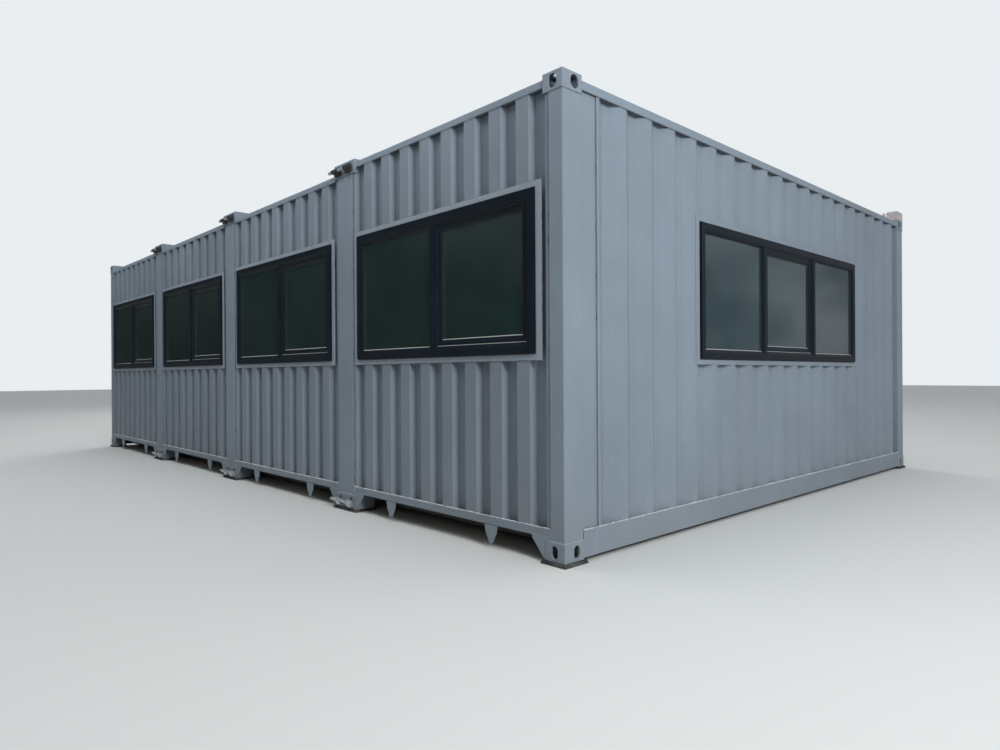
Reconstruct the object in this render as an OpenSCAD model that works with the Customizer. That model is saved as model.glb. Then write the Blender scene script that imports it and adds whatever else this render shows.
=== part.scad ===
// Cabin made of four steel shipping containers standing side by side, joined into one room.
// The frame: X to the right along the windowed front, Y to the back, Z up from the ground.
// Containers are numbered 1 to 4 from the right, and distances named back count from a face inwards.

/* [Containers] */
// Outside length of one container
module_l = 6058; // [5400:1:7000]
// Outside width of one container
module_w = 2438; // [2300:1:2600]
// Outside height of one container, over its corner castings
module_h = 2896; // [2700:1:3100]
// Gap between neighbouring containers
module_gap = 2; // [1:0.5:12]
// How far walls, posts and rails stand back from the faces of the corner castings
face_set = 4; // [3:0.5:8]

/* [Corner castings] */
// Length of a casting along the container
casting_l = 178; // [150:1:200]
// Width of a casting across the container
casting_w = 162; // [140:1:180]
// Height of a casting
casting_h = 118; // [100:1:130]
// Thickness of a casting's walls
casting_t = 14; // [8:0.5:20]
// Width of the slots in the lower castings
slot_w = 51; // [40:1:60]
// Height of the slots in the lower castings
slot_h = 79; // [62:1:86]
// Width of the holes in the upper castings
hole_w = 71; // [50:1:80]
// Height of the holes in the upper castings
hole_h = 83; // [81:1:90]
// Middle of the opening in a casting's end face, from the casting's outer side
end_hole_at = 81; // [64:1:84]
// Middle of the opening in a casting's side face, from the casting's end
side_hole_at = 108; // [80:1:112]
// Length of the opening in a casting's level face
level_hole_l = 124; // [90:1:130]
// Width of the opening in a casting's level face
level_hole_w = 64; // [50:0.5:80]
// Radius of a casting's edges
casting_r = 7; // [3:0.5:10]

/* [Frame] */
// Width of a corner post on the end face
post_w = 116; // [100:1:140]
// Depth of a corner post on the side face
post_d = 172; // [120:1:174]
// Steel thickness of the corner posts
post_t = 6; // [4:0.5:10]
// Outer radius of the bends in posts and tubes
bend_r = 9; // [6:0.5:14]
// Size of the square tubes along the top of the sides
top_rail = 60; // [50:1:80]
// Steel thickness of the tubes
tube_t = 4; // [3:0.5:6]
// Top of the roof frame of container 1, below the top of its castings
near_roof_drop = 28; // [26:1:60]
// Top of the roof frame of the other containers, below the top of their castings
far_roof_drop = 81; // [60:1:100]
// Height of the top end rails
header_h = 50; // [40:1:60]
// Underside of the bottom side rails above the castings' feet
sill_low = 12.5; // [8:0.5:20]
// Top of the bottom side rails above the castings' feet
sill_high = 163; // [163:1:185]
// Width of the bottom side rails' flanges
sill_flange = 48; // [40:1:60]
// Steel thickness of the bottom side rails
sill_t = 4.5; // [3:0.5:6]
// Length of the doubling plates on the bottom side rails
doubler_l = 116; // [80:1:160]
// Height of the bottom end rails
end_rail_h = 45; // [40:1:55]
// Depth of the end rails, top and bottom
end_rail_d = 60; // [50:1:80]
// How far the end rails stand back from the castings' end faces
end_rail_back = 8; // [6:0.5:12]
// Underside of the bottom end rails above the castings' feet
end_rail_low = 133; // [120:1:140]
// Height of the lip that stands on the bottom rails in front of the wall sheets
lip_h = 13; // [6:1:20]

/* [Floor] */
// Height of a cross-member
cross_h = 122; // [100:1:126]
// Width of a cross-member's flanges
cross_flange = 45; // [35:1:60]
// Distance between cross-members
cross_pitch = 300; // [250:1:400]
// Thickness of the plywood floor
floor_t = 28; // [18:1:30]

/* [Corrugated walls] */
// Thickness of the wall sheets
sheet_t = 2; // [1.6:0.1:3]
// How far the crests of the sheets stand back from the castings' faces
crest_back = 12; // [8:0.5:20]
// Pitch of the side walls' corrugation
side_pitch = 282; // [265:1:300]
// Depth of the side walls' corrugation
side_depth = 36; // [25:1:45]
// Width of a crest on the side walls
side_crest = 72; // [60:1:90]
// Width of a trough's floor on the side walls
side_trough = 70; // [60:1:90]
// Distance from the front to the first trough of the side walls
side_first = 348; // [310:1:370]
// Width of the crest before the first trough, up to the strip that is set back
side_lead = 22; // [15:1:40]
// How far the strip beside a corner post is set back from the crests
side_set_back = 10; // [4:0.5:20]
// Pitch of the end walls' corrugation
end_pitch = 250; // [240:1:256]
// Depth of the end walls' corrugation
end_depth = 45.6; // [30:0.1:50]
// Width of a trough's floor on the end walls
end_trough = 104; // [90:1:115]
// Width of a slope on the end walls, seen from the front
end_slope = 18; // [10:1:25]

/* [Roof] */
// Pitch of the roof's ribs
rib_pitch = 209; // [190:1:240]
// Width of the top of a rib
rib_top = 91; // [70:1:100]
// Width of the slopes of a rib
rib_slope = 13.5; // [8:0.5:20]
// Height of the ribs
rib_h = 18; // [10:1:20]
// Plain margin of the roof sheet at its sides
roof_margin = 105; // [80:1:150]

/* [End windows] */
// Gap between an end window's frame and the post on its left
end_win_left = 80; // [60:1:110]
// Gap between an end window's frame and the post on its right
end_win_right = 118; // [60:1:150]
// Underside of the end windows above the castings' feet
end_win_low = 1240; // [1150:1:1300]

/* [Side window] */
// Width of the side window's frame
side_win_w = 3000; // [2700:1:3200]
// Distance from the front corner to the side window's frame
side_win_at = 1515; // [1400:1:1600]
// Underside of the side windows above the castings' feet
side_win_low = 1219; // [1150:1:1300]

/* [All windows] */
// Height of the windows
win_h = 1000; // [900:1:1050]
// Depth of the window frames
win_d = 70; // [66:1:80]
// How far the window frames stand proud of their surrounds
win_proud = 16; // [8:0.5:24]
// Face width of a window frame
limb = 66; // [60:1:80]
// Face width of a mullion
mullion = 76; // [66:1:100]
// Width of the bevel towards the glass on frames and sashes
bevel_w = 22; // [10:1:26]
// Depth of the bevel
bevel_d = 10; // [3:0.5:12]
// Thickness of the frame's lip in front of a sash
lip_t = 18; // [14:0.5:22]
// How far a sash reaches behind the frame's lip
lip_lap = 13; // [8:1:16]
// Face width of a sash that shows beside the frame
sash_limb = 46; // [40:1:60]
// Clearance round a sash
sash_gap = 3; // [2:0.5:5]
// Thickness of a sash's flange on the room side
sash_flange = 8; // [5:0.5:10]
// Distance from the face of a frame or sash back to its glass
glass_back = 26; // [18:1:28]
// The same distance on a sash
sash_glass_back = 17; // [12:1:20]
// Thickness of the glass units
glass_t = 24; // [20:1:26]
// How far a glass unit reaches into its groove
groove = 12; // [8:1:15]
// Width of the sealed joint between a frame and its surround
joint = 8; // [4:0.5:12]
// Face width of the steel surround at a window's head and foot
level_limb = 36; // [25:1:50]
// Face width of the surround at the sides of a window
side_limb = 50; // [35:1:55]
// Thickness of the steel surround
surround_t = 4; // [3:0.5:6]

/* [Inside] */
// Distance from the end faces to the back of the inner lining
end_build = 180; // [178:1:220]
// Distance from the side faces to the back of the inner lining
side_build = 164; // [160:1:200]
// Thickness of the lining boards
board_t = 12; // [9:0.5:18]
// Underside of the ceiling boards, below the top of the castings
ceiling_drop = 160; // [155:1:220]

/* [Fittings] */
// Thickness of the rubber bearing pads
pad_t = 18; // [12:1:40]
// How far a bearing pad sticks out beyond its casting
pad_out = 16; // [10:1:40]
// Width of a gusset beside a lower casting
gusset_w = 105; // [60:1:120]
// Distance of the tie-down plates from the middle of the container
tie_off = 571; // [450:1:700]
// Width of a tie-down plate at its top
tie_w = 116; // [90:1:140]
// Radius of a tie-down plate's tip
tie_r = 22; // [15:1:30]
// Length of the plates that guard the roof beside the upper castings
corner_plate_l = 300; // [200:1:400]
// Reach of a bridge clamp from its seam towards the next container on the right
clamp_short = 135; // [125:1:150]
// Reach of a bridge clamp's screw on the left of its seam
clamp_long = 195; // [150:1:250]
// Diameter of a bridge clamp's screw
screw_d = 24; // [18:1:26]
// Distance of a bridge clamp's screw in front of the castings
screw_out = 30; // [26:1:40]
// Height of the block on the rear upper casting on the right
block_h = 100; // [60:1:110]
// Distance of the lugs on the roof's edge from the rear, to the first one's middle
lugs_back = 568; // [450:1:700]
// Distance between the lugs
lug_gap = 142; // [110:1:180]
// Radius of the lugs
lug_r = 40; // [30:1:50]
// Length of a window handle's grip
grip_l = 116; // [90:1:140]
// Thickness of a window handle's grip
grip_t = 12; // [9:0.5:15]
// How far a window handle stands off its sash
grip_out = 40; // [30:1:55]

/* [Hidden] */

modules = 4;
pitch = module_w + module_gap;
half_x = (modules - 1) / 2 * pitch + module_w / 2;
half_y = module_l / 2;
foot = pad_t;
eps = 1;

inner_w = module_w - 2 * face_set - 2 * post_w;
roof_low = [near_roof_drop, far_roof_drop, far_roof_drop, far_roof_drop];
surround_y = crest_back - surround_t;
win_y = surround_y - win_proud;
end_win_w = inner_w - end_win_left - end_win_right;
end_wall_low = end_rail_low + end_rail_h;
slope_side = (side_pitch - side_crest - side_trough) / 2;
end_win_x = -inner_w / 2 + end_win_left;
frame_back = win_y + win_d;
reveal_set = 8;

// Middle of container i, counted from 1 at the right
function mid_x(i) = half_x - module_w / 2 - (i - 1) * pitch;
// Top of the roof frame of container i above the castings' feet
function frame_top(i) = module_h - roof_low[i - 1];

// Places its children on the front of container i: X along the face, Y inwards, Z from the castings' feet
module at_front(i) {
    translate([mid_x(i), -half_y, foot]) children();
}

module at_rear(i) {
    translate([mid_x(i), half_y, foot]) rotate([0, 0, 180]) children();
}

// Places its children on the right side: X from the front corner backwards, Y inwards
module at_right() {
    translate([half_x, -half_y, foot]) rotate([0, 0, 90]) children();
}

module at_left() {
    mirror([1, 0, 0]) at_right() children();
}

module at_both_ends() {
    for (i = [1 : modules]) {
        at_front(i) children();
        at_rear(i) children();
    }
}

module at_both_sides() {
    at_right() children();
    at_left() children();
}

// Places its children at the lower left corner of every end window
module at_end_windows() {
    at_both_ends() translate([end_win_x, 0, end_win_low]) children();
}

module at_side_windows() {
    at_both_sides() translate([side_win_at, 0, side_win_low]) children();
}

// Places its children at the four corners of container i, outer faces to the right and the front
module at_corners(i) {
    for (sx = [0, 1], sy = [0, 1])
        translate([mid_x(i), 0, foot])
            mirror([sx, 0, 0])
                mirror([0, sy, 0])
                    translate([module_w / 2, -half_y, 0]) children();
}

// Box given by its edges along the face and upwards, between two depths
module slab(a, b, low, high, front, back) {
    translate([a, front, low]) cube([b - a, back - front, high - low]);
}

// Rectangle with round corners
module soft_rect(w, h, r) {
    translate([r, 0]) square([w - 2 * r, h]);
    translate([0, r]) square([w, h - 2 * r]);
    for (x = [r, w - r], y = [r, h - r]) translate([x, y]) circle(r = r, $fn = 32);
}

// Section of a cold-formed rectangular tube
module tube_profile(w, h, t) {
    difference() {
        soft_rect(w, h, bend_r);
        translate([t, t]) soft_rect(w - 2 * t, h - 2 * t, max(bend_r - t, 1));
    }
}

module bearing_pads() {
    layer = pad_t / 2;
    step = 3;
    edges = [for (k = [0 : modules]) k == 0 || k == modules ? 1 : 2];
    color("#232527")
        for (s = [-1, 1], k = [0 : modules]) {
            w = edges[k] * casting_w + (edges[k] - 1) * module_gap + 2 * pad_out;
            seam = half_x + module_gap / 2 - k * pitch;
            x = k == 0 ? half_x - casting_w / 2 : k == modules ? -half_x + casting_w / 2 : seam;
            translate([x, s * (half_y - casting_l / 2), 0]) {
                translate([-w / 2, -casting_l / 2 - pad_out, 0])
                    cube([w, casting_l + 2 * pad_out, layer]);
                translate([-w / 2 + step, -casting_l / 2 - pad_out + step, layer - eps])
                    cube([w - 2 * step, casting_l + 2 * pad_out - 2 * step, layer + eps]);
            }
        }
}

// Upright bar with round ends that runs inwards from a face
module slot_prism(w, h, depth) {
    r = w / 2;
    rotate([-90, 0, 0]) {
        for (s = [-1, 1])
            translate([0, s * (h / 2 - r), 0]) cylinder(r = r, h = depth, $fn = 32);
        translate([-r, -(h / 2 - r), 0]) cube([w, h - 2 * r, depth]);
    }
}

// Block of a casting with all its edges rounded, drawn from its outer corner
module casting_block() {
    intersection() {
        translate([-casting_w, 0, 0])
            linear_extrude(casting_h) soft_rect(casting_w, casting_l, casting_r);
        translate([-casting_w, casting_l, 0])
            rotate([90, 0, 0]) linear_extrude(casting_l) soft_rect(casting_w, casting_h, casting_r);
        translate([-casting_w, 0, 0])
            rotate([90, 0, 90]) linear_extrude(casting_w) soft_rect(casting_l, casting_h, casting_r);
    }
}

// One casting: a hollow block with an opening in its end, its side and its level face
module casting(w, h, level_top) {
    mid_z = casting_h / 2;
    level = level_top ? casting_h + eps : casting_t + eps;
    difference() {
        casting_block();
        translate([-casting_w + casting_t, casting_t, casting_t])
            cube([casting_w - 2 * casting_t, casting_l - 2 * casting_t, casting_h - 2 * casting_t]);
        translate([-end_hole_at, -eps, mid_z]) slot_prism(w, h, casting_t + 2 * eps);
        translate([eps, side_hole_at, mid_z]) rotate([0, 0, 90]) slot_prism(w, h, casting_t + 2 * eps);
        translate([-casting_w / 2, casting_l / 2, level])
            rotate([-90, 0, 0]) slot_prism(level_hole_w, level_hole_l, casting_t + 2 * eps);
    }
}

// Room that an upper casting takes up at each end of a face, as wide and deep as the casting lies to it
module casting_room(face_l, wide, deep) {
    for (x = [-face_l / 2, face_l / 2])
        translate([x, 0, module_h - casting_h / 2]) cube([2 * wide, 2 * deep, casting_h], center = true);
}

module bottom_corner_castings() {
    color("#7f8d98")
        for (i = [1 : modules])
            at_corners(i) casting(slot_w, slot_h, false);
}

module top_corner_castings() {
    color("#7f8d98")
        for (i = [1 : modules])
            at_corners(i)
                translate([0, 0, module_h - casting_h]) casting(hole_w, hole_h, true);
}

module corner_posts() {
    post_h = module_h - 2 * casting_h;
    color("#84919c")
        for (i = [1 : modules])
            at_corners(i)
                translate([-face_set - post_w, face_set, casting_h])
                    linear_extrude(post_h) tube_profile(post_w, post_d, post_t);
}

// Channel along both sides of every container, with a doubling plate welded on at each casting.
// Its lip stands where a side wall does: between two containers it is cut off level with the floor.
module bottom_side_rails() {
    h = sill_high - sill_low;
    length = module_l - 2 * casting_l;
    doubler_t = 3;
    lip_w = 4;
    color("#84919c")
        for (i = [1 : modules], s = [0, 1]) {
            walled = s == 0 ? i == 1 : i == modules;
            translate([mid_x(i), 0, foot + sill_low])
                mirror([s, 0, 0])
                    translate([module_w / 2 - face_set, 0, 0]) {
                        translate([0, length / 2, 0])
                            rotate([90, 0, 0])
                                linear_extrude(length)
                                    difference() {
                                        union() {
                                            translate([-sill_flange, 0]) square([sill_flange, h]);
                                            translate([-lip_w, 0])
                                                square([lip_w, walled ? h + lip_h : h]);
                                        }
                                        translate([-sill_flange - eps, sill_t])
                                            square([sill_flange - sill_t + eps, h - 2 * sill_t]);
                                    }
                        for (e = [0, 1])
                            mirror([0, e, 0])
                                translate([-eps, -length / 2, 0]) cube([doubler_t + eps, doubler_l, h - 8]);
                    }
        }
}

module top_side_rails() {
    color("#84919c")
        for (i = [1 : modules], s = [0, 1])
            translate([mid_x(i), 0, foot + frame_top(i) - top_rail])
                mirror([s, 0, 0])
                    translate([module_w / 2 - face_set - top_rail, half_y - casting_l, 0])
                        rotate([90, 0, 0])
                            linear_extrude(module_l - 2 * casting_l)
                                tube_profile(top_rail, top_rail, tube_t);
}

// A tube lying along an end, its outer face turned to the front
module end_tube(length, low, h) {
    translate([-length / 2, end_rail_back, low])
        rotate([90, 0, 90])
            linear_extrude(length) tube_profile(end_rail_d, h, tube_t);
}

module bottom_end_rails() {
    lip_w = 3;
    color("#84919c")
        at_both_ends() {
            end_tube(inner_w, end_rail_low, end_rail_h);
            slab(-inner_w / 2, inner_w / 2, end_wall_low - bend_r - 2, end_wall_low + lip_h,
                 end_rail_back - 1, end_rail_back - 1 + lip_w);
        }
}

module top_end_rails() {
    color("#84919c")
        for (i = [1 : modules]) {
            length = module_w - 2 * casting_w;
            at_front(i) end_tube(length, frame_top(i) - header_h, header_h);
            at_rear(i) end_tube(length, frame_top(i) - header_h, header_h);
        }
}

module cross_members() {
    length = module_w - 2 * face_set - 2 * sill_t;
    count = floor((module_l - 2 * casting_l - cross_flange) / cross_pitch);
    low = sill_high - floor_t - cross_h;
    color("#59646e")
        for (i = [1 : modules], k = [0 : count])
            translate([mid_x(i) - length / 2, (k - count / 2) * cross_pitch, foot + low])
                rotate([90, 0, 90])
                    linear_extrude(length)
                        difference() {
                            translate([-cross_flange / 2, 0]) square([cross_flange, cross_h]);
                            translate([-cross_flange / 2 + tube_t, tube_t])
                                square([cross_flange, cross_h - 2 * tube_t]);
                        }
}

// Plate from a lower casting up to the end rail, its free edge sloping from the casting's foot outwards
module bottom_corner_gussets() {
    plate_t = 8;
    to_post = casting_w - face_set - post_w;
    lap = 10;
    tip_w = 8;
    color("#84919c")
        for (i = [1 : modules])
            at_corners(i)
                translate([-casting_w, end_rail_back, 0])
                    rotate([90, 0, 0])
                        linear_extrude(plate_t - 2)
                            polygon([[0, sill_low], [0, casting_h], [to_post, casting_h],
                                     [to_post, end_rail_low + lap], [-gusset_w, end_rail_low + lap],
                                     [-gusset_w, end_rail_low - lap], [-tip_w, sill_low]]);
}

// A hanging plate that narrows to a round tip
module tie_plate() {
    drop = end_rail_low - sill_low - tie_r;
    plate_t = 10;
    translate([0, end_rail_back + plate_t, 0])
        rotate([90, 0, 0])
            linear_extrude(plate_t)
                union() {
                    translate([0, sill_low + tie_r]) circle(r = tie_r, $fn = 32);
                    polygon([[-tie_w / 2, end_rail_low], [tie_w / 2, end_rail_low],
                             [tie_w * 0.42, end_rail_low - drop / 2], [tie_r, end_rail_low - drop],
                             [-tie_r, end_rail_low - drop], [-tie_w * 0.42, end_rail_low - drop / 2]]);
                }
}

module tie_down_plates() {
    color("#84919c")
        at_both_ends()
            for (s = [-1, 1]) translate([s * tie_off, 0, 0]) tie_plate();
}

// Doubling plate on the roof beside every upper casting, one corner cut off towards the middle
module header_corner_plates() {
    plate_t = 4;
    plate_d = 210;
    cut = 60;
    front = end_rail_back + 14;
    color("#8b98a3")
        for (i = [1 : modules])
            at_corners(i)
                translate([-casting_w - 2, 0, frame_top(i) + sheet_t])
                    linear_extrude(plate_t)
                        polygon([[0, front], [0, plate_d], [-corner_plate_l + cut, plate_d],
                                 [-corner_plate_l, plate_d - cut], [-corner_plate_l, front]]);
}

// Folded line of a corrugated sheet, or the line that runs beside it at a distance further in
function fold_points(starts, slope, floor_w, depth, beside) =
    let (j = beside * tan(atan2(depth, slope) / 2))
    [
        for (a = starts)
            each [[a - j, beside], [a + slope - j, depth + beside],
                  [a + slope + floor_w + j, depth + beside], [a + 2 * slope + floor_w + j, beside]]
    ];

function reversed(list) = [for (k = [len(list) - 1 : -1 : 0]) list[k]];

// Section of a corrugated sheet with troughs that begin at the starts, equally thick on flats and slopes
module sheet_profile(starts, slope, floor_w, depth, low, high) {
    outer = fold_points(starts, slope, floor_w, depth, 0);
    inner = fold_points(starts, slope, floor_w, depth, sheet_t);
    polygon(concat([[low, 0]], outer, [[high, 0], [high, sheet_t]], reversed(inner), [[low, sheet_t]]));
}

// Room that a window takes up in a wall: its frame with the joint and the surround's lining round it
module window_room(w) {
    edge = joint + surround_t;
    translate([-edge, 0, -edge]) cube([w + 2 * edge, frame_back, win_h + 2 * edge]);
}

// One end wall between the posts, from the bottom end rail to the top end rail, with its window hole
module end_wall(i) {
    full = end_trough + 2 * end_slope;
    count = floor((inner_w - full) / 2 / end_pitch);
    starts = [for (k = [-count : count]) k * end_pitch - full / 2];
    h = frame_top(i) - header_h - end_wall_low;
    difference() {
        translate([0, crest_back, end_wall_low])
            linear_extrude(h)
                sheet_profile(starts, end_slope, end_trough, end_depth, -inner_w / 2, inner_w / 2);
        translate([end_win_x, 0, end_win_low]) window_room(end_win_w);
        casting_room(module_w, casting_w, casting_l);
    }
}

module front_wall(i) {
    color("#7d8a95") at_front(i) end_wall(i);
}

module rear_wall(i) {
    color("#7d8a95") at_rear(i) end_wall(i);
}

// One side wall: a strip beside the front post that is set back from the crests, then the folds, and
// at the rear a last trough that runs on to the post
module side_wall() {
    low_x = face_set + post_d;
    high_x = module_l - face_set - post_d;
    full = side_pitch - side_crest;
    count = floor((high_x - side_first - slope_side) / side_pitch);
    last = side_first + count * side_pitch;
    starts = [for (k = [0 : count - 1]) side_first + k * side_pitch];
    strip_end = side_first - side_lead;
    j = sheet_t * tan(atan2(side_depth, slope_side) / 2);
    difference() {
        translate([0, crest_back, sill_high])
            linear_extrude(frame_top(1) - top_rail - sill_high)
                union() {
                    sheet_profile(starts, slope_side, side_trough, side_depth, strip_end, last);
                    polygon([[last - eps, 0], [last, 0], [last + slope_side, side_depth],
                             [high_x, side_depth], [high_x, side_depth + sheet_t],
                             [last + slope_side - j, side_depth + sheet_t],
                             [last - j, sheet_t], [last - eps, sheet_t]]);
                    translate([low_x, side_set_back]) square([strip_end - low_x, sheet_t]);
                    translate([strip_end, 0]) square([sheet_t, side_set_back + sheet_t]);
                }
        translate([side_win_at, 0, side_win_low]) window_room(side_win_w);
        translate([module_l / 2, 0, 0]) casting_room(module_l, casting_l, casting_w);
    }
}

module right_wall() {
    color("#93a0ac") at_right() side_wall();
}

module left_wall() {
    color("#93a0ac")
        at_left()
            difference() {
                side_wall();
                translate([0, 0, frame_top(modules) - top_rail])
                    cube([module_l, crest_back + side_depth + 10, far_roof_drop]);
            }
}

// Height of the roof's ribs along the container, as a closed outline down to a base
module rib_outline(base, lift) {
    length = module_l - 2 * casting_l - 2 * roof_margin;
    full = rib_top + 2 * rib_slope;
    count = floor((length - full) / rib_pitch);
    starts = [for (k = [0 : count]) (k - count / 2) * rib_pitch - full / 2];
    tops = [
        for (a = starts)
            each [[a, lift], [a + rib_slope, rib_h + lift],
                  [a + rib_slope + rib_top, rib_h + lift], [a + full, lift]]
    ];
    polygon(concat([[-half_y, base], [-half_y, lift]], tops, [[half_y, lift], [half_y, base]]));
}

// Everything under the roof's upper face once it is lifted by a thickness
module rib_body(base, lift) {
    reach = module_w / 2 - roof_margin;
    intersection() {
        translate([-module_w / 2, 0, 0])
            rotate([90, 0, 90]) linear_extrude(module_w) rib_outline(base, lift);
        translate([0, half_y, 0])
            rotate([90, 0, 0])
                linear_extrude(module_l)
                    polygon([[-module_w / 2, base], [-module_w / 2, lift], [-reach, lift],
                             [-reach + rib_slope, rib_h + lift], [reach - rib_slope, rib_h + lift],
                             [reach, lift], [module_w / 2, lift], [module_w / 2, base]]);
    }
}

// One roof sheet, pressed into ribs that end before the rails, with its corners cut out for the castings
module roof_panel(i) {
    edge = face_set + 12;
    end = end_rail_back + 14;
    color("#8d9aa5")
        translate([mid_x(i), 0, foot + frame_top(i)])
            intersection() {
                difference() {
                    rib_body(0, sheet_t);
                    rib_body(-eps, 0);
                }
                difference() {
                    translate([-module_w / 2 + edge, -half_y + end, -2 * eps])
                        cube([module_w - 2 * edge, module_l - 2 * end, rib_h + 10]);
                    for (sx = [-1, 1], sy = [-1, 1])
                        translate([sx * module_w / 2, sy * half_y, 0])
                            cube([2 * casting_w + 4, 2 * casting_l + 4, 4 * rib_h], center = true);
                }
            }
}

module floor_panels() {
    w = module_w - 2 * face_set - 2 * sill_flange;
    back = end_rail_back + end_rail_d;
    color("#6d5a44")
        for (i = [1 : modules])
            translate([mid_x(i) - w / 2, -half_y + back, foot + sill_high - floor_t])
                cube([w, module_l - 2 * back, floor_t]);
}

// Steel ring on the crests round a window, with a lining welded to it that runs in through the wall
module surround(w) {
    difference() {
        union() {
            translate([-joint - side_limb, surround_y, -joint - level_limb])
                cube([w + 2 * joint + 2 * side_limb, surround_t, win_h + 2 * joint + 2 * level_limb]);
            translate([-joint - surround_t, surround_y, -joint - surround_t])
                cube([w + 2 * joint + 2 * surround_t, frame_back - surround_y,
                      win_h + 2 * joint + 2 * surround_t]);
        }
        translate([-joint, 0, -joint]) cube([w + 2 * joint, frame_back + eps, win_h + 2 * joint]);
    }
}

module end_window_surrounds() {
    color("#98a4ae") at_end_windows() surround(end_win_w);
}

module side_window_surrounds() {
    color("#98a4ae") at_side_windows() surround(side_win_w);
}

// Sealed joint between a frame and its surround, a little back from the steel
module window_seal(w) {
    set = 2;
    difference() {
        translate([-joint, surround_y + set, -joint])
            cube([w + 2 * joint, frame_back - surround_y - set, win_h + 2 * joint]);
        cube([w, frame_back + eps, win_h]);
    }
}

module window_seals() {
    color("#25282b") {
        at_end_windows() window_seal(end_win_w);
        at_side_windows() window_seal(side_win_w);
    }
}

// The lights of a window, each as [left edge, right edge, opens], in front of the sash where it opens
function window_lights(w, count, opening) =
    let (light = (w - 2 * limb - (count - 1) * mullion) / count)
    [
        for (k = [0 : count - 1])
            let (a = limb + k * (light + mullion))
            [a, a + light, k == opening]
    ];

end_lights = window_lights(end_win_w, 2, 1);
side_lights = window_lights(side_win_w, 3, 1);

// Hole in the face of a frame or sash, with bevels that widen it towards the outside
module bevelled_hole(a, b, low, high, depth) {
    out = bevel_w * (1 + eps / bevel_d);
    intersection() {
        linear_extrude(high + bevel_w + 2 * eps)
            polygon([[a - out, -eps], [b + out, -eps], [b, bevel_d], [b, depth], [a, depth], [a, bevel_d]]);
        translate([a - out - eps, 0, 0])
            rotate([90, 0, 90])
                linear_extrude(b - a + 2 * out + 2 * eps)
                    polygon([[-eps, low - out], [-eps, high + out], [bevel_d, high], [depth, high],
                             [depth, low], [bevel_d, low]]);
    }
}

module window_frame(w, lights) {
    high = win_h - limb;
    rebate = lip_lap + sash_gap;
    translate([0, win_y, 0])
        difference() {
            cube([w, win_d, win_h]);
            for (l = lights) {
                bevelled_hole(l[0], l[1], limb, high, win_d + eps);
                if (l[2])
                    slab(l[0] - rebate, l[1] + rebate, limb - rebate, high + rebate, lip_t, win_d + eps);
                else
                    slab(l[0] - groove, l[1] + groove, limb - groove, high + groove,
                         glass_back, glass_back + glass_t);
            }
        }
}

// A sash closes behind the frame's lip, and its flange closes on the back of the frame
module window_sash(l) {
    face = lip_t + 2;
    flange = lip_lap + sash_gap + 8;
    high = win_h - limb;
    pane_back = sash_glass_back + glass_t;
    translate([0, win_y + face, 0])
        difference() {
            union() {
                slab(l[0] - lip_lap, l[1] + lip_lap, limb - lip_lap, high + lip_lap, 0, win_d - face + eps);
                slab(l[0] - flange, l[1] + flange, limb - flange, high + flange,
                     win_d - face, win_d - face + sash_flange);
            }
            bevelled_hole(l[0] + sash_limb, l[1] - sash_limb, limb + sash_limb, high - sash_limb, 2 * win_d);
            slab(l[0] + sash_limb - groove, l[1] - sash_limb + groove, limb + sash_limb - groove,
                 high - sash_limb + groove, sash_glass_back, pane_back);
        }
}

// The glass unit of a light, seated in the groove of its frame or sash
module window_glass(l) {
    edge = l[2] ? sash_limb - groove : -groove;
    front = win_y + (l[2] ? lip_t + 2 + sash_glass_back : glass_back);
    slab(l[0] + edge, l[1] - edge, limb + edge, win_h - limb - edge, front, front + glass_t);
}

module end_window_frames() {
    color("#2a3037") at_end_windows() window_frame(end_win_w, end_lights);
}

module side_window_frames() {
    color("#3a434b") at_side_windows() window_frame(side_win_w, side_lights);
}

module end_window_sashes() {
    color("#2d333a") at_end_windows() window_sash(end_lights[1]);
}

module side_window_sashes() {
    color("#3a434b") at_side_windows() window_sash(side_lights[1]);
}

module end_window_glass() {
    color("#4d5a58")
        at_end_windows()
            for (l = end_lights) window_glass(l);
}

module side_window_glass() {
    color("#54635f")
        at_side_windows()
            for (l = side_lights) window_glass(l);
}

// Turn handle on the room side of a sash: a rose, a neck and a hanging grip
module sash_handle(l) {
    rose_w = 28;
    rose_h = 66;
    rose_t = 8;
    neck_r = 7;
    grip_w = 18;
    translate([l[0] + sash_limb / 2, frame_back + sash_flange, win_h / 2]) {
        slot_prism(rose_w, rose_h, rose_t);
        rotate([-90, 0, 0]) cylinder(r = neck_r, h = grip_out, $fn = 32);
        translate([0, grip_out - grip_t / 2, grip_w / 2 - grip_l / 2]) slot_prism(grip_w, grip_l, grip_t);
    }
}

module window_handles() {
    color("#b9bec2") {
        at_end_windows() sash_handle(end_lights[1]);
        at_side_windows() sash_handle(side_lights[1]);
    }
}

// Boards that line the hole from the frame to the room
module reveal(w, depth) {
    inset = reveal_set + board_t;
    difference() {
        slab(reveal_set, w - reveal_set, reveal_set, win_h - reveal_set, frame_back, depth);
        slab(inset, w - inset, inset, win_h - inset, frame_back - eps, depth + eps);
    }
}

module window_reveals() {
    color("#e4e3dc") {
        at_end_windows() reveal(end_win_w, end_build + board_t);
        at_side_windows() reveal(side_win_w, side_build + board_t);
    }
}

// Hole in a lining, as large as the reveal's boards
module reveal_hole(w) {
    translate([reveal_set, -eps, reveal_set])
        cube([w - 2 * reveal_set, board_t + 2 * eps, win_h - 2 * reveal_set]);
}

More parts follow.
